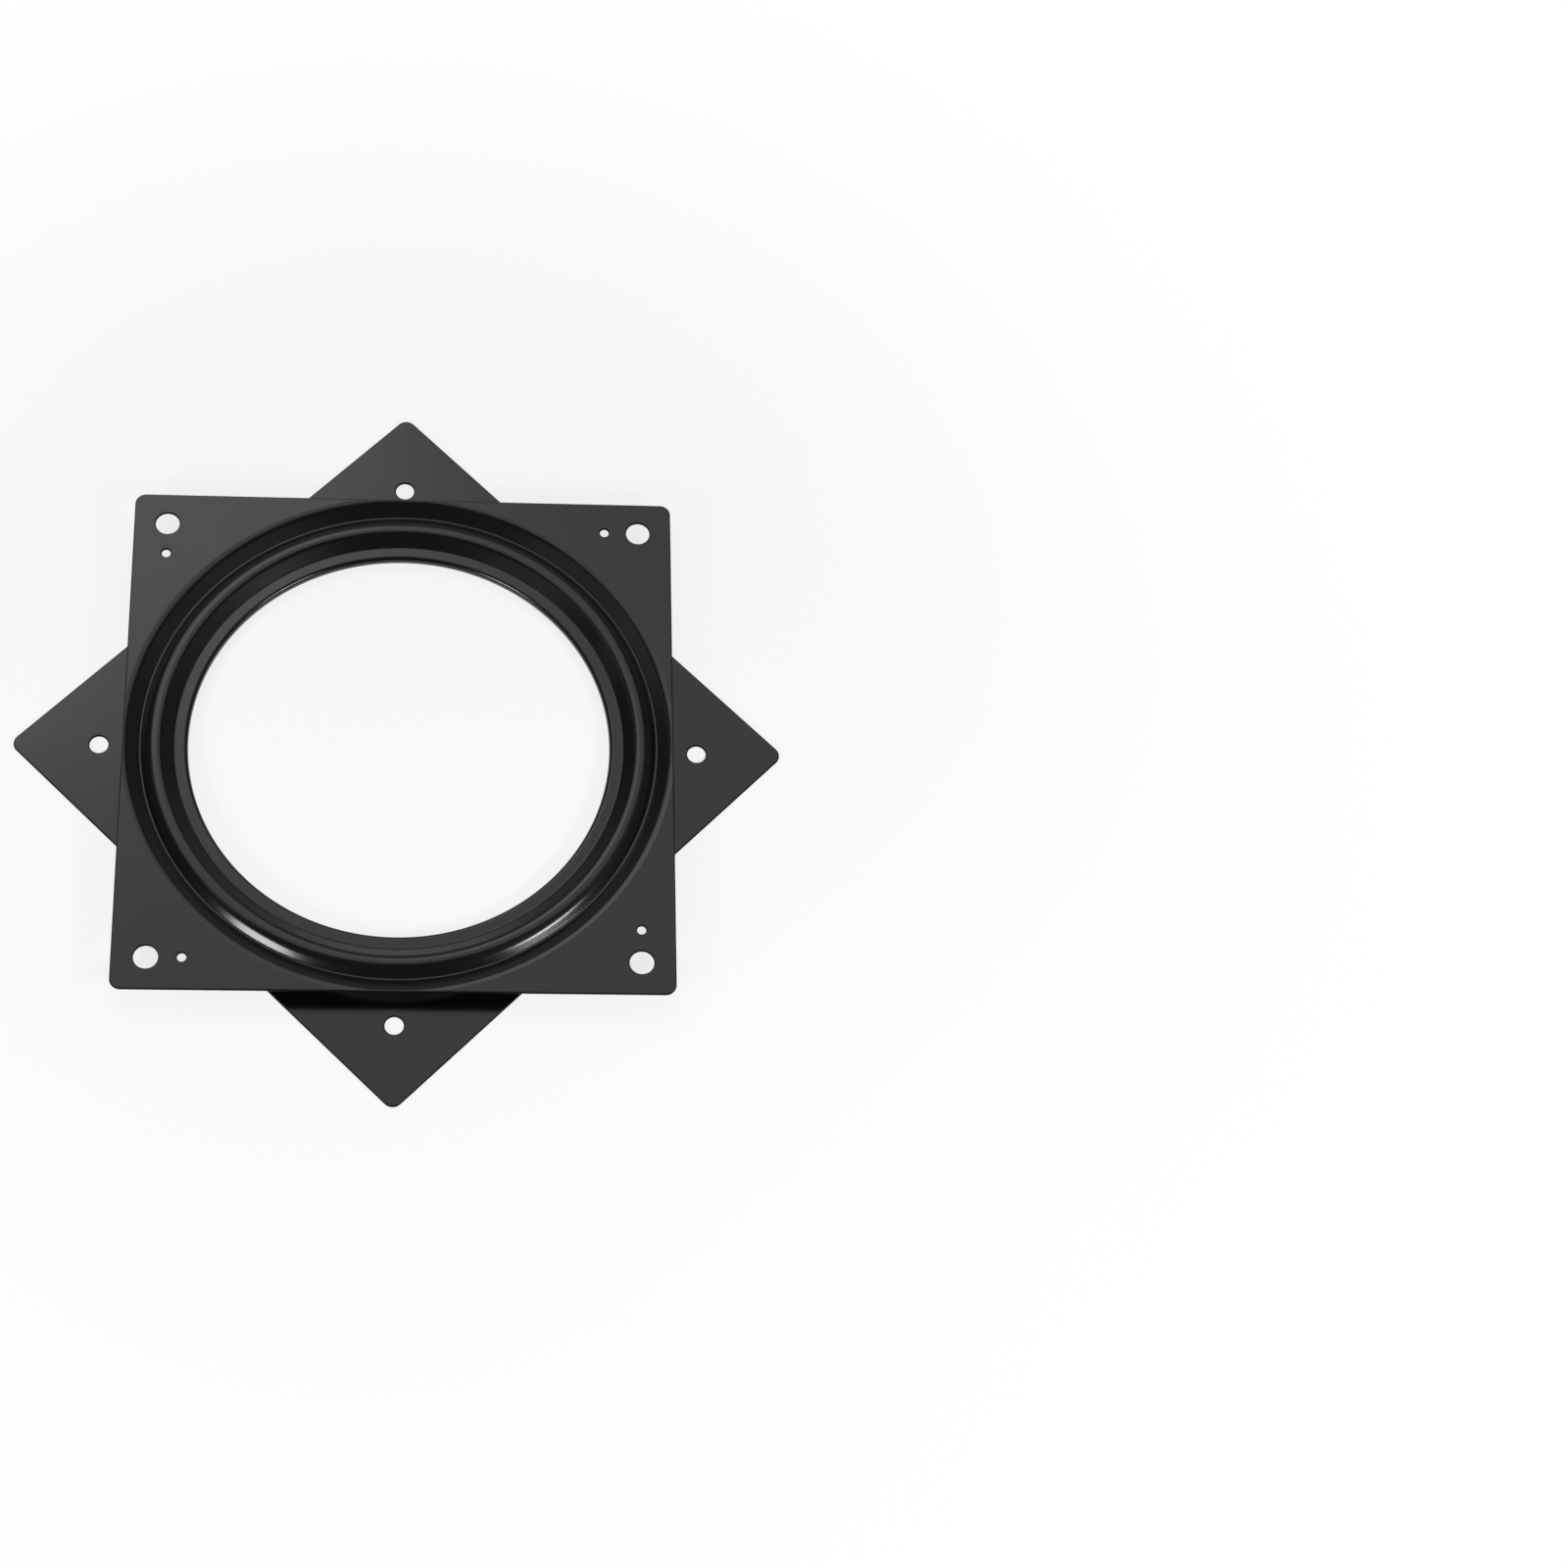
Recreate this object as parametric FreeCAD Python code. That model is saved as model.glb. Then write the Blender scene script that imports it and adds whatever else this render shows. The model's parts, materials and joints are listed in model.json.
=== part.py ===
import FreeCAD, Part
import math
import os

# Lazy susan bearing: two square pressed-steel plates that turn on one ring of balls.
# Millimetres. +Z is up, z = 0 is the underside of the bottom plate, and Z is the turning axis.
# The top plate is square to X and Y. The bottom plate is turned by plate_twist.

# Sheet and plates
plate_side = 152.4
plate_corner_radius = 3.0
sheet = 0.9
plate_twist = 45.0

# Balls and race
ball_diameter = 4.76
ball_count = 36
ball_circle_inset = 9.1      # plate's side to the circle of the ball centres
race_clearance = 0.12        # ball to the sheet above it and below it
crown_drop = 0.57            # top of the bead below the flat of its plate

# Pressed ring: a bead over the balls and a dish from the bead up to the flat
bead_outer_rounding = 4.8
bead_outer_angle = 39.0
bead_outer_run = 1.8         # from that rounding to the corner of the valley
valley_rounding = 0.7
dish_angle = 33.5
dish_rim_rounding = 4.5
bead_inner_angle = 36.0      # slope from the bead down to the ledge

# Ledges, and the top plate's neck, which passes through the bottom plate and is clinched under it
ledge_depth = 3.3            # top plate's ledge below its flat
ledge_rounding = 0.9         # between a slope and its ledge
ledge_width = 3.8            # top plate's ledge, from the foot of its slope to the bore
ledge_gap = 0.2              # between the two ledges
neck_gap = 0.3               # neck to the edge of the bottom plate's opening
neck_bend = 0.35             # inside radius of both bends of the neck
lip_overlap = 2.3            # lip beyond the edge of the bottom plate's opening
lip_gap = 0.15               # lip below the bottom plate's ledge

# Holes
screw_hole_diameter = 6.7
screw_hole_inset = 9.4       # from both sides of the top plate
pilot_hole_diameter = 2.5
pilot_hole_step = 9.6        # from the screw hole, along one side
base_hole_diameter = 5.2
base_hole_inset = 17.4       # from both sides of the bottom plate

# Worked out from the sizes above
half_side = plate_side / 2
ball_radius = ball_diameter / 2
ball_circle = half_side - ball_circle_inset
ball_height = crown_drop + sheet + race_clearance + ball_radius
stack_height = 2 * ball_height
shoulder_rounding = ball_radius + race_clearance + sheet
base_ledge_depth = stack_height - ledge_depth - sheet - ledge_gap - sheet
plate_reach = plate_side     # radius beyond the corners, trimmed to the square later


def lean(angle):
    """Direction of a slope in the (radius, depth) section, outwards and deeper."""
    return math.cos(math.radians(angle)), math.sin(math.radians(angle))


def bend_setback(rounding, angle):
    """How far before its corner a rounding starts, on a bend of this angle."""
    return rounding * math.tan(math.radians(angle) / 2)


def rim_to_crown():
    """Corners (radius, depth, rounding) of a plate's outside face, from its rim to the crown."""
    across, down = lean(bead_outer_angle)
    setback = bend_setback(bead_outer_rounding, bead_outer_angle)
    crown_corner = ball_circle + setback
    flank = setback + bead_outer_run
    valley = crown_corner + flank * across
    valley_depth = crown_drop + flank * down
    dish_rim = valley + valley_depth / math.tan(math.radians(dish_angle))
    return [
        (plate_reach, 0, 0),
        (dish_rim, 0, dish_rim_rounding),
        (valley, valley_depth, valley_rounding),
        (crown_corner, crown_drop, bead_outer_rounding),
    ]


def crown_to_ledge(depth):
    """The bead's inner corner, and the corner where its slope meets a ledge at a depth."""
    inner = ball_circle - bend_setback(shoulder_rounding, bead_inner_angle)
    foot = inner - (depth - crown_drop) / math.tan(math.radians(bead_inner_angle))
    return [(inner, crown_drop, shoulder_rounding), (foot, depth, ledge_rounding)]


def bore_radius():
    """Inside of the neck, which is the bearing's clear opening."""
    shoulder, foot = crown_to_ledge(ledge_depth)
    return foot[0] - ledge_width


def base_opening_radius():
    """Edge of the bottom plate's opening, which the neck fills."""
    return bore_radius() + sheet + neck_gap


def top_corners():
    """Outside face of the top plate, from its reach down the neck to the edge of the lip."""
    lip_depth = stack_height - base_ledge_depth + lip_gap + sheet
    neck = [
        (bore_radius(), ledge_depth, neck_bend + sheet),
        (bore_radius(), lip_depth, neck_bend + sheet),
        (base_opening_radius() + lip_overlap, lip_depth, 0),
    ]
    return rim_to_crown() + crown_to_ledge(ledge_depth) + neck


def bottom_corners():
    """Outside face of the bottom plate, from its reach to the edge of its opening."""
    return rim_to_crown() + crown_to_ledge(base_ledge_depth) + [(base_opening_radius(), base_ledge_depth, 0)]


def point(corner):
    return FreeCAD.Vector(corner[0], 0, corner[1])


def unit(start, end):
    return (point(end) - point(start)).normalize()


def other_face(corners):
    """The same face one sheet thickness to its left, with each rounding to match."""
    shifted = []
    for index, corner in enumerate(corners):
        into = unit(corners[max(index - 1, 0)], corners[max(index, 1)])
        out = unit(corners[min(index, len(corners) - 2)], corners[min(index + 1, len(corners) - 1)])
        left_in = FreeCAD.Vector(-into.z, 0, into.x)
        left_out = FreeCAD.Vector(-out.z, 0, out.x)
        moved = point(corner) + (left_in + left_out) * (sheet / (1 + left_in.dot(left_out)))
        turns_left = into.x * out.z > into.z * out.x
        rounding = corner[2] - sheet if turns_left else corner[2] + sheet
        shifted.append((moved.x, moved.z, rounding))
    return shifted


def rounded_run(corners):
    """Straight edges and tangent arcs through the corners, with both ends sharp."""
    edges = []
    start = point(corners[0])
    for before, corner, after in zip(corners, corners[1:], corners[2:]):
        back = unit(corner, before)
        ahead = unit(corner, after)
        half = back.getAngle(ahead) / 2
        setback = corner[2] / math.tan(half)
        sagitta = corner[2] / math.sin(half) - corner[2]
        first = point(corner) + back * setback
        middle = point(corner) + (back + ahead).normalize() * sagitta
        last = point(corner) + ahead * setback
        if first.distanceToPoint(start) > Part.Precision.confusion():
            edges.append(Part.LineSegment(start, first).toShape())
        edges.append(Part.Arc(first, middle, last).toShape())
        start = last
    edges.append(Part.LineSegment(start, point(corners[-1])).toShape())
    return edges


def pressed_disc(outside):
    """A round pressing: the sheet between an outside face and its other face, turned about Z."""
    inside = other_face(outside)
    ends = [Part.LineSegment(point(outside[end]), point(inside[end])).toShape() for end in (0, -1)]
    edges = rounded_run(outside) + rounded_run(inside) + ends
    section = Part.Face(Part.Wire(Part.__sortEdges__(edges)))
    return section.revolve(FreeCAD.Vector(0, 0, 0), FreeCAD.Vector(0, 0, 1), 360)


def square_blank():
    """The square with rounded corners that a pressing is trimmed to."""
    blank = Part.makeBox(plate_side, plate_side, stack_height, FreeCAD.Vector(-half_side, -half_side, 0))
    uprights = [edge for edge in blank.Edges if abs(edge.tangentAt(edge.FirstParameter).z) > 0.5]
    return blank.makeFillet(plate_corner_radius, uprights)


def punch(plate, diameter, places):
    """Round holes straight through a plate."""
    for x, y in places:
        plate = plate.cut(Part.makeCylinder(diameter / 2, stack_height, FreeCAD.Vector(x, y, 0)))
    return plate


def four_times(x, y):
    """A place and its three copies, each a quarter turn on."""
    return [(x, y), (-y, x), (-x, -y), (y, -x)]


def top_plate():
    outside = [(radius, stack_height - depth, rounding) for radius, depth, rounding in top_corners()]
    plate = pressed_disc(outside).common(square_blank())
    reach = half_side - screw_hole_inset
    plate = punch(plate, screw_hole_diameter, four_times(reach, reach))
    return punch(plate, pilot_hole_diameter, four_times(reach - pilot_hole_step, reach))


def bottom_plate():
    plate = pressed_disc(bottom_corners()[::-1]).common(square_blank())
    reach = half_side - base_hole_inset
    plate = punch(plate, base_hole_diameter, four_times(reach, reach))
    plate.rotate(FreeCAD.Vector(0, 0, 0), FreeCAD.Vector(0, 0, 1), plate_twist)
    return plate


def ball(number):
    turn = 2 * math.pi * number / ball_count
    centre = (ball_circle * math.cos(turn), ball_circle * math.sin(turn), ball_height)
    return Part.makeSphere(ball_radius, FreeCAD.Vector(*centre))


def pieces():
    made = {"top_plate": top_plate(), "bottom_plate": bottom_plate()}
    for number in range(ball_count):
        made["ball_%02d" % (number + 1)] = ball(number)
    return made


os.makedirs("parts", exist_ok=True)
for name, shape in pieces().items():
    shape.exportStep("parts/%s.step" % name)
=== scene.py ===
"""Lazy susan bearing: two black pressed-steel plates, clinched together, on a ring of steel balls."""
import json
import math

import bmesh
import bpy
from mathutils import Matrix, Vector


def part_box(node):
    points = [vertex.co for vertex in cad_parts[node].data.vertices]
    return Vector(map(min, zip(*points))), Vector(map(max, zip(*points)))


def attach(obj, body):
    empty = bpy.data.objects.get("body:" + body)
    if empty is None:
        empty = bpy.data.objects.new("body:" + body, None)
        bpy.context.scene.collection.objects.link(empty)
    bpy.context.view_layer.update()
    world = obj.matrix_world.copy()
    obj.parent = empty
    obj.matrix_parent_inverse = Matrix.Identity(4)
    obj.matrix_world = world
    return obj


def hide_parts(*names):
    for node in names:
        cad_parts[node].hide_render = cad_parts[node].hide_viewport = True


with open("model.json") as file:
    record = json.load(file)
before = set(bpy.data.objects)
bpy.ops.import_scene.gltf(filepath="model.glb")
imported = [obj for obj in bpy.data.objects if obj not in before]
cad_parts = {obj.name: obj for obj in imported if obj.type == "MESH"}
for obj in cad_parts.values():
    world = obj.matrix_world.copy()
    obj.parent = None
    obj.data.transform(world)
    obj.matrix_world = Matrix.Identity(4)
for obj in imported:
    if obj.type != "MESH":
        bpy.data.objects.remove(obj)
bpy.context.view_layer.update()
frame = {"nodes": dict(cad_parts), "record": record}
MM = 0.001

# Sizes read from the frame
TOP_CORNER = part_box("top_plate")[1]
HALF_SIDE = TOP_CORNER.x
STACK = TOP_CORNER.z
MOUNTS = {mount["name"]: mount["dims"] for mount in frame["record"]["mounts"]}
SCREW_REACH = MOUNTS["top_screw_holes"]["spacing_x_mm"] * MM / 2
SCREW_RADIUS = MOUNTS["top_screw_holes"]["hole_r_mm"] * MM
PILOT_CIRCLE = MOUNTS["top_pilot_holes"]["pcd_mm"] * MM / 2
PILOT_REACH = math.sqrt(PILOT_CIRCLE ** 2 - SCREW_REACH ** 2)
PILOT_RADIUS = MOUNTS["top_pilot_holes"]["hole_r_mm"] * MM
BASE_HOLE_CIRCLE = MOUNTS["bottom_screw_holes"]["pcd_mm"] * MM / 2
BASE_HOLE_REACH = BASE_HOLE_CIRCLE / math.sqrt(2)
BASE_HOLE_RADIUS = MOUNTS["bottom_screw_holes"]["hole_r_mm"] * MM

# The pressed sheet, as in the part
SHEET = 0.9 * MM
CORNER_RADIUS = 3.0 * MM
PLATE_TWIST = math.radians(45)
BALL_DIAMETER = 4.76 * MM
BALL_CIRCLE_INSET = 9.1 * MM
BALL_CIRCLE = HALF_SIDE - BALL_CIRCLE_INSET
RACE_CLEARANCE = 0.12 * MM
CROWN_DROP = 0.57 * MM
BEAD_OUTER_ROUNDING = 4.8 * MM
BEAD_OUTER_ANGLE = math.radians(39)
BEAD_OUTER_RUN = 1.8 * MM
VALLEY_ROUNDING = 0.7 * MM
DISH_ANGLE = math.radians(33.5)
DISH_RIM_ROUNDING = 4.5 * MM
BEAD_INNER_ANGLE = math.radians(36)
SHOULDER_ROUNDING = BALL_DIAMETER / 2 + RACE_CLEARANCE + SHEET
LEDGE_DEPTH = 3.3 * MM
LEDGE_ROUNDING = 0.9 * MM
LEDGE_WIDTH = 3.8 * MM
LEDGE_GAP = 0.2 * MM
NECK_GAP = 0.3 * MM
NECK_BEND = 0.35 * MM
LIP_OVERLAP = 2.3 * MM
LIP_GAP = 0.15 * MM

BLANK_RADIUS = 1.6 * HALF_SIDE    # past the square's corners, cut to the square later
FLAT_MARGIN = 0.5 * MM            # narrow ring of flat kept round the dish
EDGE_ROUNDING = 0.38 * MM         # both edges of the sheet, wherever it is cut

# How finely the sheet is drawn
BEND_STEP = math.radians(5)
TURN_STEPS = 288
HOLE_STEPS = 48
CORNER_STEPS = 11
RIM_STEPS = 9
MERGE_DISTANCE = 0.02 * MM
MERGE_ANGLE = math.radians(0.5)
FLATNESS = 0.001 * MM

# Paint and steel
PAINT_COLOUR = (0.003, 0.003, 0.0031, 1)
PAINT_SKIN = {
    "Ripple Scale": 900,
    "Ripple Height": 0.012,
    "Gloss": 0.19,
    "Gloss Spread": 0.03,
    "Edge Gloss": 0.5,
}
RIPPLE_DEPTH = 0.1 * MM
CLOUD_SCALE = 60
FACE_SHINE = 0.5
EDGE_SHINE = 0.1
EDGE_FADE = 0.2                   # share of the sheet's thickness from shiny face to dull edge
STEEL_COLOUR = (0.62, 0.62, 0.63, 1)
STEEL_SCUFF_SCALE = 1500
STEEL_POLISHED = 0.08
STEEL_SCUFFED = 0.2

# Floor and room
FLOOR_RADIUS = 14
FLOOR_STEPS = 96
FLOOR_WHITE = (0.93, 0.93, 0.93, 1)
FLOOR_ROUGHNESS = 0.9
SHADOW_RADIUS = 0.1               # the floor shows the most shadow as far out as this
GLOW_RADIUS = 0.3                 # and none from here on
GLOW_SHARE = 0.8                  # share of its own glow where it shows the shadow
ROOM_LIGHT = 0.09
ROOM_LIGHT_BEHIND = 0.3           # reached straight behind
ROOM_BEHIND_FROM = 0.5            # share of a direction that points back, where it starts to rise
ROOM_LIGHT_RIGHT = 0.06           # added to the others on the right
ROOM_RIGHT_FROM = 0.3             # share of a direction that points right, where this starts
ROOM_RIGHT_TO = 0.9               # and where it is all there

# The photograph's view, fitted to the plates' edges and holes
PHOTO_WIDTH = 1600                # in pixels
PHOTO_FOCAL_LENGTH = 3862         # in pixels
SENSOR_WIDTH = 36
CAMERA_ELEVATION = math.radians(63.78)
CAMERA_YAW = math.radians(-12.01)
CAMERA_ROLL = math.radians(11.72)
CAMERA_DISTANCE = 1065.5 * MM
CAMERA_AIM = Vector((107.78 * MM, -8.48 * MM, 0))


# Drawing a sheet section and turning it

def spot(corner):
    """A corner's place in the section, with X across and Z up."""
    return Vector((corner[0], 0, corner[1]))


def draw_to(bm, tip, place):
    """Carries the wire straight on from its tip to a place."""
    if (place - tip.co).length < FLATNESS:
        return tip
    reached = bmesh.ops.extrude_vert_indiv(bm, verts=[tip])["verts"][0]
    reached.co = place
    return reached


def draw_bend(bm, tip, centre, turn, left):
    """Carries the wire on from its tip round a bend."""
    axis = (0, -1 if left else 1, 0)
    steps = max(2, round(turn / BEND_STEP))
    spun = bmesh.ops.spin(bm, geom=[tip], cent=centre, axis=axis, angle=turn, steps=steps)
    return next(part for part in spun["geom_last"] if isinstance(part, bmesh.types.BMVert))


def draw_section(bm, corners):
    """A wire through (radius, height, rounding) corners, with tangent bends."""
    tip = bm.verts.new(spot(corners[0]))
    for before, corner, after in zip(corners, corners[1:], corners[2:]):
        here = spot(corner)
        back = (spot(before) - here).normalized()
        ahead = (spot(after) - here).normalized()
        half_opening = back.angle(ahead) / 2
        tip = draw_to(bm, tip, here + back * corner[2] / math.tan(half_opening))
        if corner[2] > 0:
            centre = here + (back + ahead).normalized() * corner[2] / math.sin(half_opening)
            left = back.cross(ahead).y > 0
            tip = draw_bend(bm, tip, centre, math.pi - 2 * half_opening, left)
    draw_to(bm, tip, spot(corners[-1]))


def rim_to_crown():
    """Corners (radius, depth, rounding) of a plate's outside face, from its rim to the crown."""
    setback = BEAD_OUTER_ROUNDING * math.tan(BEAD_OUTER_ANGLE / 2)
    crown_corner = BALL_CIRCLE + setback
    flank = setback + BEAD_OUTER_RUN
    valley = crown_corner + flank * math.cos(BEAD_OUTER_ANGLE)
    valley_depth = CROWN_DROP + flank * math.sin(BEAD_OUTER_ANGLE)
    dish_rim = valley + valley_depth / math.tan(DISH_ANGLE)
    flat_start = dish_rim + DISH_RIM_ROUNDING * math.tan(DISH_ANGLE / 2)
    return [
        (BLANK_RADIUS, 0, 0),
        (flat_start + FLAT_MARGIN, 0, 0),
        (dish_rim, 0, DISH_RIM_ROUNDING),
        (valley, valley_depth, VALLEY_ROUNDING),
        (crown_corner, CROWN_DROP, BEAD_OUTER_ROUNDING),
    ]


def crown_to_ledge(depth):
    """The bead's inner corner, and the corner where its slope meets a ledge at a depth."""
    inner = BALL_CIRCLE - SHOULDER_ROUNDING * math.tan(BEAD_INNER_ANGLE / 2)
    foot = inner - (depth - CROWN_DROP) / math.tan(BEAD_INNER_ANGLE)
    return [(inner, CROWN_DROP, SHOULDER_ROUNDING), (foot, depth, LEDGE_ROUNDING)]


TOP_LEDGE = crown_to_ledge(LEDGE_DEPTH)
BORE = TOP_LEDGE[1][0] - LEDGE_WIDTH
BASE_OPENING = BORE + SHEET + NECK_GAP
BASE_LEDGE_DEPTH = STACK - LEDGE_DEPTH - SHEET - LEDGE_GAP - SHEET


def top_section():
    """Down the neck, through the bottom plate's opening and out into the lip under its ledge."""
    lip_depth = STACK - BASE_LEDGE_DEPTH + LIP_GAP + SHEET
    bend = NECK_BEND + SHEET
    lip_edge = BASE_OPENING + LIP_OVERLAP - EDGE_ROUNDING
    neck = [(BORE, LEDGE_DEPTH, bend), (BORE, lip_depth, bend), (lip_edge, lip_depth, 0)]
    depths = rim_to_crown() + TOP_LEDGE + neck
    return [(radius, STACK - depth, rounding) for radius, depth, rounding in depths]


def bottom_section():
    """Up the bottom plate's bead and down to its ledge, as far as the opening for the neck."""
    opening = (BASE_OPENING + EDGE_ROUNDING, BASE_LEDGE_DEPTH, 0)
    return rim_to_crown() + crown_to_ledge(BASE_LEDGE_DEPTH) + [opening]


# Cutting a skin to its square, punching it and giving it the sheet's thickness

def trim_square(bm, reach):
    """Cuts the skin to a square whose sides lie this far from the axis."""
    for side in range(4):
        outwards = Matrix.Rotation(side * math.pi / 2, 3, "Z") @ Vector((1, 0, 0))
        everything = bm.verts[:] + bm.edges[:] + bm.faces[:]
        bmesh.ops.bisect_plane(
            bm, geom=everything, plane_co=outwards * reach, plane_no=outwards, clear_outer=True)
    bmesh.ops.remove_doubles(bm, verts=bm.verts[:], dist=MERGE_DISTANCE)


def four_times(x, y):
    """A place and its three copies, each a quarter turn on."""
    return [(x, y), (-y, x), (-x, -y), (y, -x)]


def is_flat(face, height):
    """Whether a face lies level at a height."""
    return all(abs(vert.co.z - height) < FLATNESS for vert in face.verts)


def merge_flats(bm, height):
    """Leaves one face on each flat stretch at a height, with its corners."""
    flats = [face for face in bm.faces if is_flat(face, height)]
    verts = dict.fromkeys(vert for face in flats for vert in face.verts)
    edges = dict.fromkeys(edge for face in flats for edge in face.edges)
    inner = [edge for edge in edges if all(is_flat(face, height) for face in edge.link_faces)]
    bmesh.ops.dissolve_limit(bm, angle_limit=MERGE_ANGLE, verts=list(verts), edges=inner)


def punch(bm, height, holes):
    """Rounds the corners of the flats at a height and fills the flats again round their holes."""
    merge_flats(bm, height)
    reach = HALF_SIDE - EDGE_ROUNDING
    tips = [vert for vert in bm.verts if min(abs(vert.co.x), abs(vert.co.y)) > reach - FLATNESS]
    bmesh.ops.bevel(
        bm, geom=tips, offset=CORNER_RADIUS - EDGE_ROUNDING, offset_type="OFFSET", affect="VERTICES",
        segments=CORNER_STEPS, profile=0.5, material=-1)
    flats = [face for face in bm.faces if is_flat(face, height) and len(face.verts) > 4]
    outline = dict.fromkeys(edge for face in flats for edge in face.edges)
    bmesh.ops.delete(bm, geom=flats, context="FACES_ONLY")
    for radius, x, y in holes:
        place = Matrix.Translation((x, y, height))
        cut = radius + EDGE_ROUNDING
        hole = bmesh.ops.create_circle(bm, segments=HOLE_STEPS, radius=cut, matrix=place)
        outline.update(dict.fromkeys(edge for vert in hole["verts"] for edge in vert.link_edges))
    bmesh.ops.triangle_fill(bm, edges=list(outline), use_beauty=True, use_dissolve=False)


def sideways(vert):
    """Out of the sheet, in its own plane, at a vertex on its rim."""
    out = Vector()
    for edge in vert.link_edges:
        if edge.is_boundary:
            loop = edge.link_loops[0]
            along = loop.link_loop_next.vert.co - loop.vert.co
            out += along.cross(loop.face.normal).normalized()
    return out.normalized()


def edge_profile(step):
    """How far out and how deep a rim stands at one of its steps, from the skin down."""
    from_face = min(step, RIM_STEPS - step)
    turn = math.pi * from_face / (RIM_STEPS - 1)
    away = EDGE_ROUNDING * math.sin(turn)
    sunk = EDGE_ROUNDING * (1 - math.cos(turn))
    return away, sunk if step == from_face else SHEET - sunk


def thicken(bm):
    """Adds the sheet's other face and a rim with rounded edges between the two."""
    bm.normal_update()
    out = bm.verts.layers.float_vector.new("out")
    into = bm.verts.layers.float_vector.new("into")
    depth = bm.verts.layers.float.new("depth")
    for vert in bm.verts:
        vert[out] = sideways(vert)
        vert[into] = -vert.normal
        if vert.is_boundary:
            vert[into] = Vector((0, 0, math.copysign(1, -vert.normal.z)))
    grown = bmesh.ops.extrude_face_region(bm, geom=bm.faces[:], use_keep_orig=True)
    for vert in grown["geom"]:
        if isinstance(vert, bmesh.types.BMVert):
            vert.co += vert[into] * SHEET
            vert[depth] = 1
    rungs = [edge for edge in bm.edges if edge.verts[0][depth] != edge.verts[1][depth]]
    bmesh.ops.subdivide_edges(bm, edges=rungs, cuts=RIM_STEPS - 1, use_grid_fill=True)
    for vert in bm.verts:
        step = round(vert[depth] * RIM_STEPS)
        if 0 < step < RIM_STEPS:
            away, down = edge_profile(step)
            vert.co += vert[out] * away + vert[into] * (down - vert[depth] * SHEET)
    bmesh.ops.recalc_face_normals(bm, faces=bm.faces[:])


def pressed_plate(name, section, flat_height, holes, twist, face_up):
    """A pressing whose outside face follows a section, trimmed to the square and punched."""
    bm = bmesh.new()
    draw_section(bm, section)
    bmesh.ops.spin(
        bm, geom=bm.verts[:] + bm.edges[:], cent=(0, 0, 0), axis=(0, 0, 1), angle=2 * math.pi,
        steps=TURN_STEPS, use_merge=True)
    trim_square(bm, HALF_SIDE - EDGE_ROUNDING)
    punch(bm, flat_height, holes)
    bmesh.ops.recalc_face_normals(bm, faces=bm.faces[:])
    widest = max(bm.faces, key=lambda face: face.calc_area())
    if (widest.normal.z > 0) != face_up:
        bmesh.ops.reverse_faces(bm, faces=bm.faces[:])
    thicken(bm)
    bmesh.ops.rotate(bm, verts=bm.verts[:], cent=(0, 0, 0), matrix=Matrix.Rotation(twist, 3, "Z"))
    for face in bm.faces:
        face.smooth = True
    mesh = bpy.data.meshes.new(name)
    bm.to_mesh(mesh)
    bm.free()
    plate = bpy.data.objects.new(name, mesh)
    bpy.context.scene.collection.objects.link(plate)
    flatten = plate.modifiers.new("true flats", "WEIGHTED_NORMAL")
    flatten.mode = "FACE_AREA"
    return plate


# Finishes

def nodes_of(material):
    """A new material's node tree and its Principled shader."""
    material.use_nodes = True
    tree = material.node_tree
    return tree, tree.nodes["Principled BSDF"]


def smooth_rise(tree, value, start, end, low, high):
    """A value that rises smoothly from low at start to high at end."""
    rise = tree.nodes.new("ShaderNodeMapRange")
    rise.interpolation_type = "SMOOTHSTEP"
    for name, number in (("From Min", start), ("From Max", end), ("To Min", low), ("To Max", high)):
        rise.inputs[name].default_value = number
    tree.links.new(value, rise.inputs["Value"])
    return rise.outputs["Result"]


def total(tree, values):
    """The sum of some values."""
    out = values[0]
    for value in values[1:]:
        add = tree.nodes.new("ShaderNodeMath")
        tree.links.new(out, add.inputs[0])
        tree.links.new(value, add.inputs[1])
        out = add.outputs[0]
    return out


def cut_edge(tree):
    """A mask of a plate's cut edges: 0 on the sheet's two faces, 1 round its rim."""
    depth = tree.nodes.new("ShaderNodeAttribute")
    depth.attribute_name = "depth"
    from_face = tree.nodes.new("ShaderNodeMath")
    from_face.operation = "PINGPONG"
    from_face.inputs[1].default_value = 0.5
    tree.links.new(depth.outputs["Fac"], from_face.inputs[0])
    return smooth_rise(tree, from_face.outputs[0], 0, EDGE_FADE, 0, 1)


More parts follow.
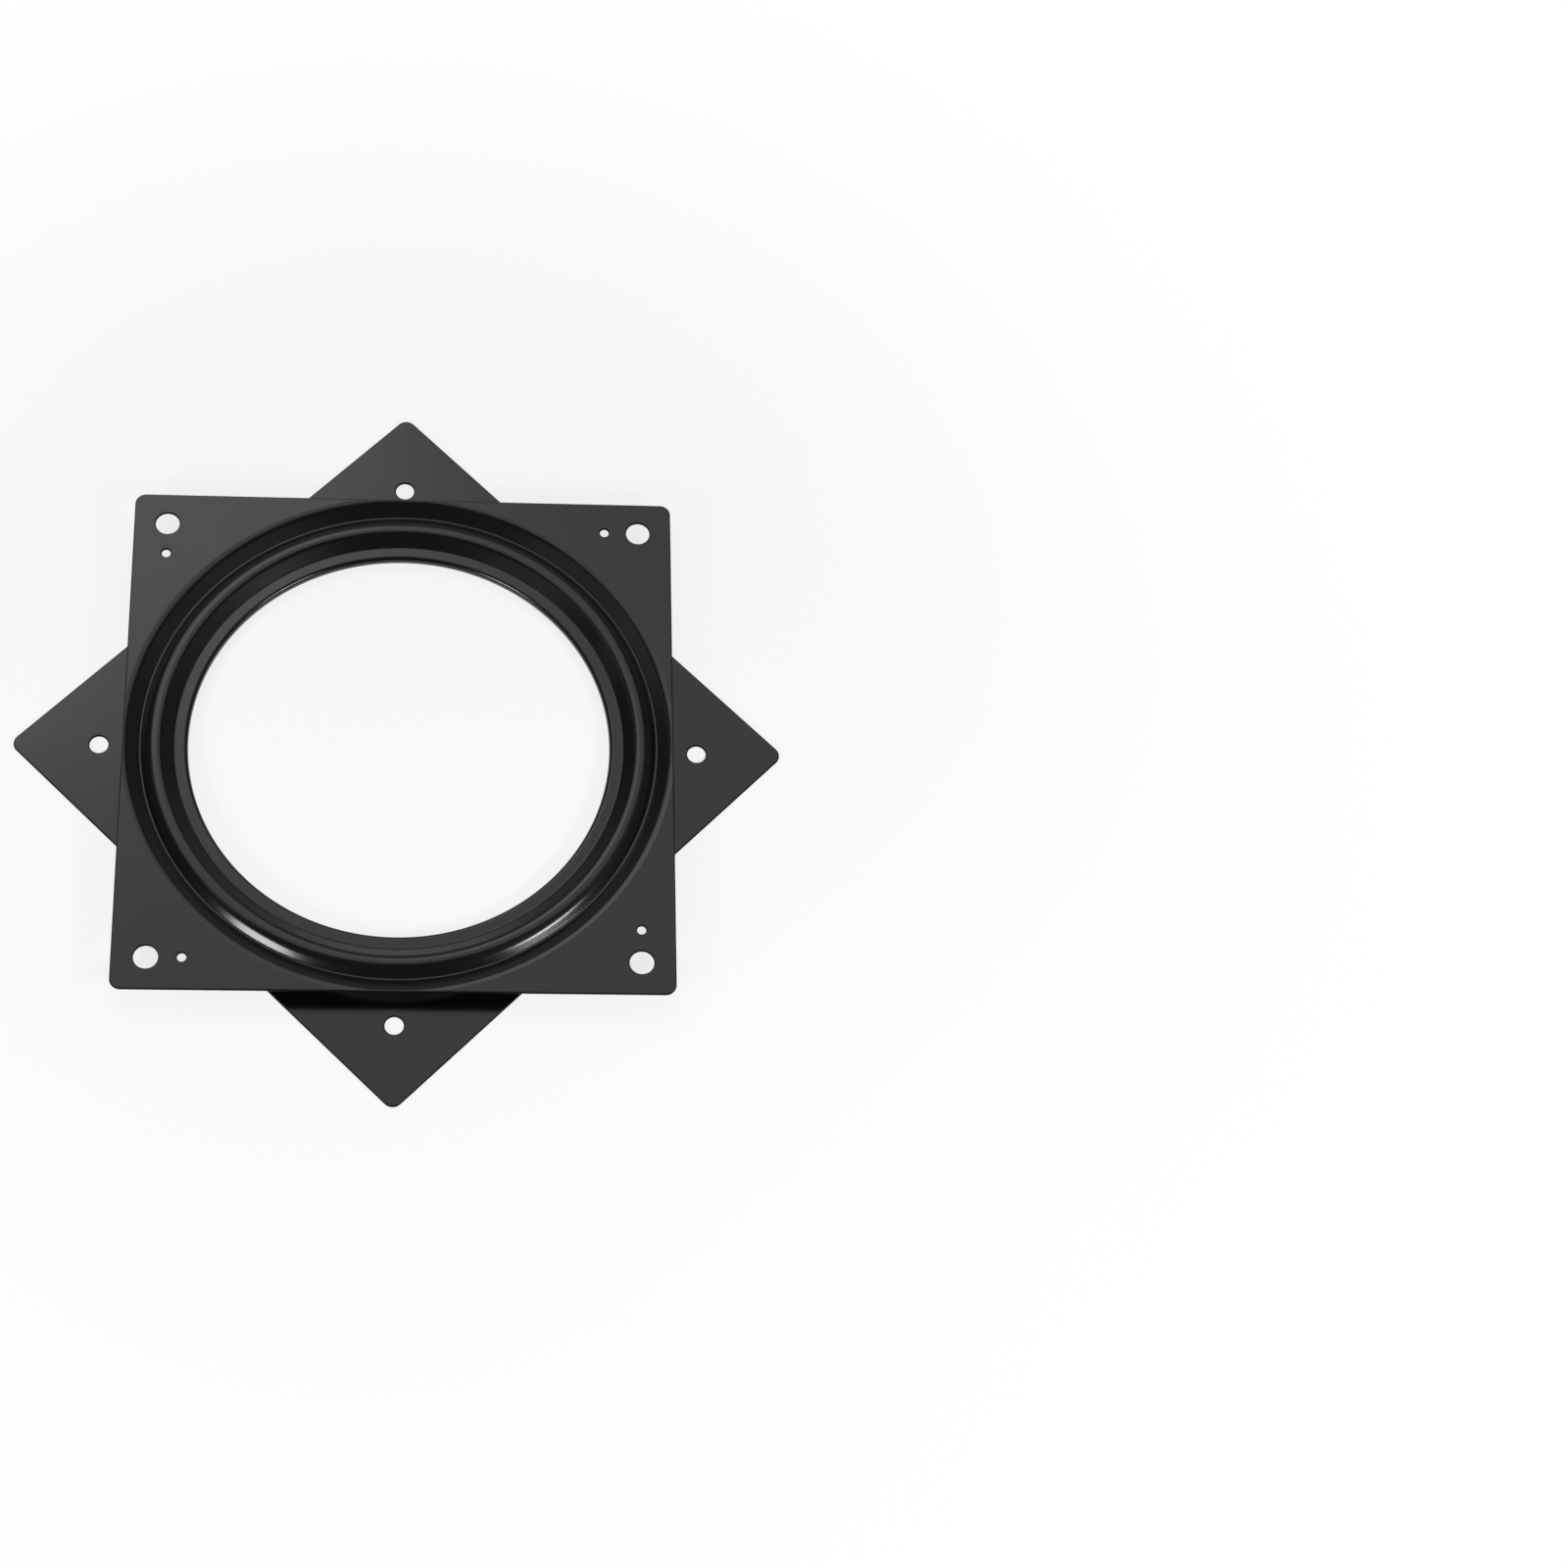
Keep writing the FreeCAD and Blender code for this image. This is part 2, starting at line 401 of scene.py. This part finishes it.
def paint_skin_group():
    """Semi-gloss paint: a faint ripple, gloss that varies a little, and duller cut edges."""
    group = bpy.data.node_groups.new("paint_skin", "ShaderNodeTree")
    for name in (*PAINT_SKIN, "Edge"):
        group.interface.new_socket(name, in_out="INPUT", socket_type="NodeSocketFloat")
    group.interface.new_socket("Roughness", in_out="OUTPUT", socket_type="NodeSocketFloat")
    group.interface.new_socket("Normal", in_out="OUTPUT", socket_type="NodeSocketVector")
    nodes, links = group.nodes, group.links
    inputs = nodes.new("NodeGroupInput")
    outputs = nodes.new("NodeGroupOutput")
    place = nodes.new("ShaderNodeTexCoord")
    ripple = nodes.new("ShaderNodeTexNoise")
    links.new(place.outputs["Object"], ripple.inputs["Vector"])
    links.new(inputs.outputs["Ripple Scale"], ripple.inputs["Scale"])
    bump = nodes.new("ShaderNodeBump")
    bump.inputs["Distance"].default_value = RIPPLE_DEPTH
    links.new(ripple.outputs["Fac"], bump.inputs["Height"])
    links.new(inputs.outputs["Ripple Height"], bump.inputs["Strength"])
    cloud = nodes.new("ShaderNodeTexNoise")
    cloud.inputs["Scale"].default_value = CLOUD_SCALE
    links.new(place.outputs["Object"], cloud.inputs["Vector"])
    centred = nodes.new("ShaderNodeMath")
    centred.operation = "SUBTRACT"
    centred.inputs[1].default_value = 0.5
    links.new(cloud.outputs["Fac"], centred.inputs[0])
    gloss = nodes.new("ShaderNodeMath")
    gloss.operation = "MULTIPLY_ADD"
    links.new(centred.outputs[0], gloss.inputs[0])
    links.new(inputs.outputs["Gloss Spread"], gloss.inputs[1])
    links.new(inputs.outputs["Gloss"], gloss.inputs[2])
    finish = nodes.new("ShaderNodeMix")
    links.new(inputs.outputs["Edge"], finish.inputs["Factor"])
    links.new(gloss.outputs[0], finish.inputs["A"])
    links.new(inputs.outputs["Edge Gloss"], finish.inputs["B"])
    links.new(finish.outputs["Result"], outputs.inputs["Roughness"])
    links.new(bump.outputs["Normal"], outputs.inputs["Normal"])
    return group


def black_paint():
    """The plates' paint, duller and less shiny on the cut edges."""
    material = bpy.data.materials.new("black_paint")
    tree, shader = nodes_of(material)
    skin = tree.nodes.new("ShaderNodeGroup")
    skin.node_tree = paint_skin_group()
    for name, value in PAINT_SKIN.items():
        skin.inputs[name].default_value = value
    edge = cut_edge(tree)
    shine = smooth_rise(tree, edge, 0, 1, FACE_SHINE, EDGE_SHINE)
    shader.inputs["Base Color"].default_value = PAINT_COLOUR
    tree.links.new(edge, skin.inputs["Edge"])
    tree.links.new(skin.outputs["Roughness"], shader.inputs["Roughness"])
    tree.links.new(skin.outputs["Normal"], shader.inputs["Normal"])
    tree.links.new(shine, shader.inputs["Specular IOR Level"])
    return material


def ball_steel():
    """Polished steel with fine scuffs."""
    material = bpy.data.materials.new("ball_steel")
    tree, shader = nodes_of(material)
    place = tree.nodes.new("ShaderNodeTexCoord")
    scuffs = tree.nodes.new("ShaderNodeTexNoise")
    scuffs.inputs["Scale"].default_value = STEEL_SCUFF_SCALE
    tree.links.new(place.outputs["Object"], scuffs.inputs["Vector"])
    ramp = tree.nodes.new("ShaderNodeMapRange")
    ramp.inputs["To Min"].default_value = STEEL_POLISHED
    ramp.inputs["To Max"].default_value = STEEL_SCUFFED
    tree.links.new(scuffs.outputs["Fac"], ramp.inputs["Value"])
    tree.links.new(ramp.outputs["Result"], shader.inputs["Roughness"])
    shader.inputs["Base Color"].default_value = STEEL_COLOUR
    shader.inputs["Metallic"].default_value = 1
    return material


# The floor, the lamps, the room and the camera

def white_floor():
    """A white that keeps the bearing's shadow near it and glows evenly further off."""
    material = bpy.data.materials.new("white_floor")
    tree, shader = nodes_of(material)
    shader.inputs["Base Color"].default_value = FLOOR_WHITE
    shader.inputs["Roughness"].default_value = FLOOR_ROUGHNESS
    place = tree.nodes.new("ShaderNodeTexCoord")
    distance = tree.nodes.new("ShaderNodeVectorMath")
    distance.operation = "LENGTH"
    tree.links.new(place.outputs["Object"], distance.inputs[0])
    spread = smooth_rise(tree, distance.outputs["Value"], SHADOW_RADIUS, GLOW_RADIUS, GLOW_SHARE, 1)
    rays = tree.nodes.new("ShaderNodeLightPath")
    seen_by = ("Is Camera Ray", "Is Glossy Ray", "Is Transmission Ray")
    seen = total(tree, [rays.outputs[name] for name in seen_by])
    share = tree.nodes.new("ShaderNodeMath")
    share.operation = "MULTIPLY"
    share.use_clamp = True
    tree.links.new(spread, share.inputs[0])
    tree.links.new(seen, share.inputs[1])
    glow = tree.nodes.new("ShaderNodeEmission")
    mix = tree.nodes.new("ShaderNodeMixShader")
    tree.links.new(share.outputs[0], mix.inputs["Fac"])
    tree.links.new(shader.outputs["BSDF"], mix.inputs[1])
    tree.links.new(glow.outputs["Emission"], mix.inputs[2])
    tree.links.new(mix.outputs["Shader"], tree.nodes["Material Output"].inputs["Surface"])
    return material


def floor():
    """The round white floor that the bearing lies on."""
    bm = bmesh.new()
    bmesh.ops.create_circle(bm, cap_ends=True, segments=FLOOR_STEPS, radius=FLOOR_RADIUS)
    mesh = bpy.data.meshes.new("floor")
    bm.to_mesh(mesh)
    bm.free()
    obj = bpy.data.objects.new("floor", mesh)
    bpy.context.scene.collection.objects.link(obj)
    mesh.materials.append(white_floor())


def soft_box(name, turn, elevation, distance, width, height, radiance, shape="RECTANGLE"):
    """A lamp that faces the bearing. Its turn, counter-clockwise from +X, and its elevation are in
    degrees, and radiance is how bright it looks, with 1 as white."""
    lamp = bpy.data.lights.new(name, "AREA")
    lamp.shape = shape
    lamp.size = width
    lamp.size_y = height
    filled = math.pi / 4 if shape == "ELLIPSE" else 1
    lamp.energy = radiance * width * height * filled * math.pi
    obj = bpy.data.objects.new(name, lamp)
    bpy.context.scene.collection.objects.link(obj)
    turn, elevation = math.radians(turn), math.radians(elevation)
    flat = math.cos(elevation)
    towards = Vector((math.cos(turn) * flat, math.sin(turn) * flat, math.sin(elevation)))
    obj.location = towards * distance
    obj.rotation_euler = towards.to_track_quat("Z", "Y").to_euler()
    obj.visible_camera = False


def room():
    """A dim room, paler behind the bearing and to its right, for every ray."""
    world = bpy.data.worlds.new("room")
    world.use_nodes = True
    tree = world.node_tree
    direction = tree.nodes.new("ShaderNodeTexCoord")
    parts = tree.nodes.new("ShaderNodeSeparateXYZ")
    tree.links.new(direction.outputs["Generated"], parts.inputs["Vector"])
    behind = smooth_rise(tree, parts.outputs["Y"], ROOM_BEHIND_FROM, 1, ROOM_LIGHT, ROOM_LIGHT_BEHIND)
    right = smooth_rise(tree, parts.outputs["X"], ROOM_RIGHT_FROM, ROOM_RIGHT_TO, 0, ROOM_LIGHT_RIGHT)
    tree.links.new(total(tree, [behind, right]), tree.nodes["Background"].inputs["Strength"])
    tree.nodes["Background"].inputs["Color"].default_value = (1, 1, 1, 1)
    bpy.context.scene.world = world


def photo_camera():
    """The photograph's view of the bearing."""
    data = bpy.data.cameras.new("camera")
    data.sensor_width = SENSOR_WIDTH
    data.lens = PHOTO_FOCAL_LENGTH / PHOTO_WIDTH * SENSOR_WIDTH
    camera = bpy.data.objects.new("camera", data)
    bpy.context.scene.collection.objects.link(camera)
    yaw = Matrix.Rotation(CAMERA_YAW, 4, "Z")
    pitch = Matrix.Rotation(math.pi / 2 - CAMERA_ELEVATION, 4, "X")
    roll = Matrix.Rotation(CAMERA_ROLL, 4, "Z")
    turn = yaw @ pitch @ roll
    back = turn.to_3x3() @ Vector((0, 0, 1))
    camera.matrix_world = Matrix.Translation(CAMERA_AIM + back * CAMERA_DISTANCE) @ turn
    bpy.context.scene.camera = camera


# The bearing

top_holes = [(SCREW_RADIUS, x, y) for x, y in four_times(SCREW_REACH, SCREW_REACH)]
top_holes += [(PILOT_RADIUS, x, y) for x, y in four_times(PILOT_REACH, SCREW_REACH)]
base_holes = [(BASE_HOLE_RADIUS, x, y) for x, y in four_times(BASE_HOLE_REACH, BASE_HOLE_REACH)]

paint = black_paint()
plates = {
    "turntable": pressed_plate("top_pressing", top_section(), STACK, top_holes, 0, True),
    "base": pressed_plate("bottom_pressing", bottom_section(), 0, base_holes, PLATE_TWIST, False),
}
for body, node in (("turntable", "top_plate"), ("base", "bottom_plate")):
    plates[body].data.materials.append(paint)
    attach(plates[body], body)
    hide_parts(node)

steel = ball_steel()
for name, node in frame["nodes"].items():
    if name.startswith("ball_"):
        node.data.materials.clear()
        node.data.materials.append(steel)

# The picture

floor()

# Overhead and behind, for the greys of the flats
soft_box("overhead", 95, 62, 1.6, 1.6, 1.5, 0.96)
soft_box("back_left", 118, 50, 1.5, 0.8, 0.7, 0.45)
soft_box("back", 104, 54, 1.5, 0.4, 0.5, 0.6)

# Bright and low in front, for the two streaks on the near side of the bead
soft_box("front_left", 224.6, 28.5, 0.65, 0.21, 0.19, 16.5, "ELLIPSE")
soft_box("front_right", 321.5, 33.6, 0.5, 0.18, 0.075, 25, "ELLIPSE")

# Weak and close by, for the dish's dark grey
soft_box("left", 183, 55, 0.29, 0.16, 0.10, 0.26)
soft_box("left_low", 154, 44, 0.24, 0.12, 0.06, 0.26)
soft_box("right", 333, 55, 0.29, 0.16, 0.10, 0.13)
soft_box("right_low", 4, 44, 0.25, 0.14, 0.06, 0.14)

room()
photo_camera()
bpy.context.scene.view_settings.view_transform = "Standard"
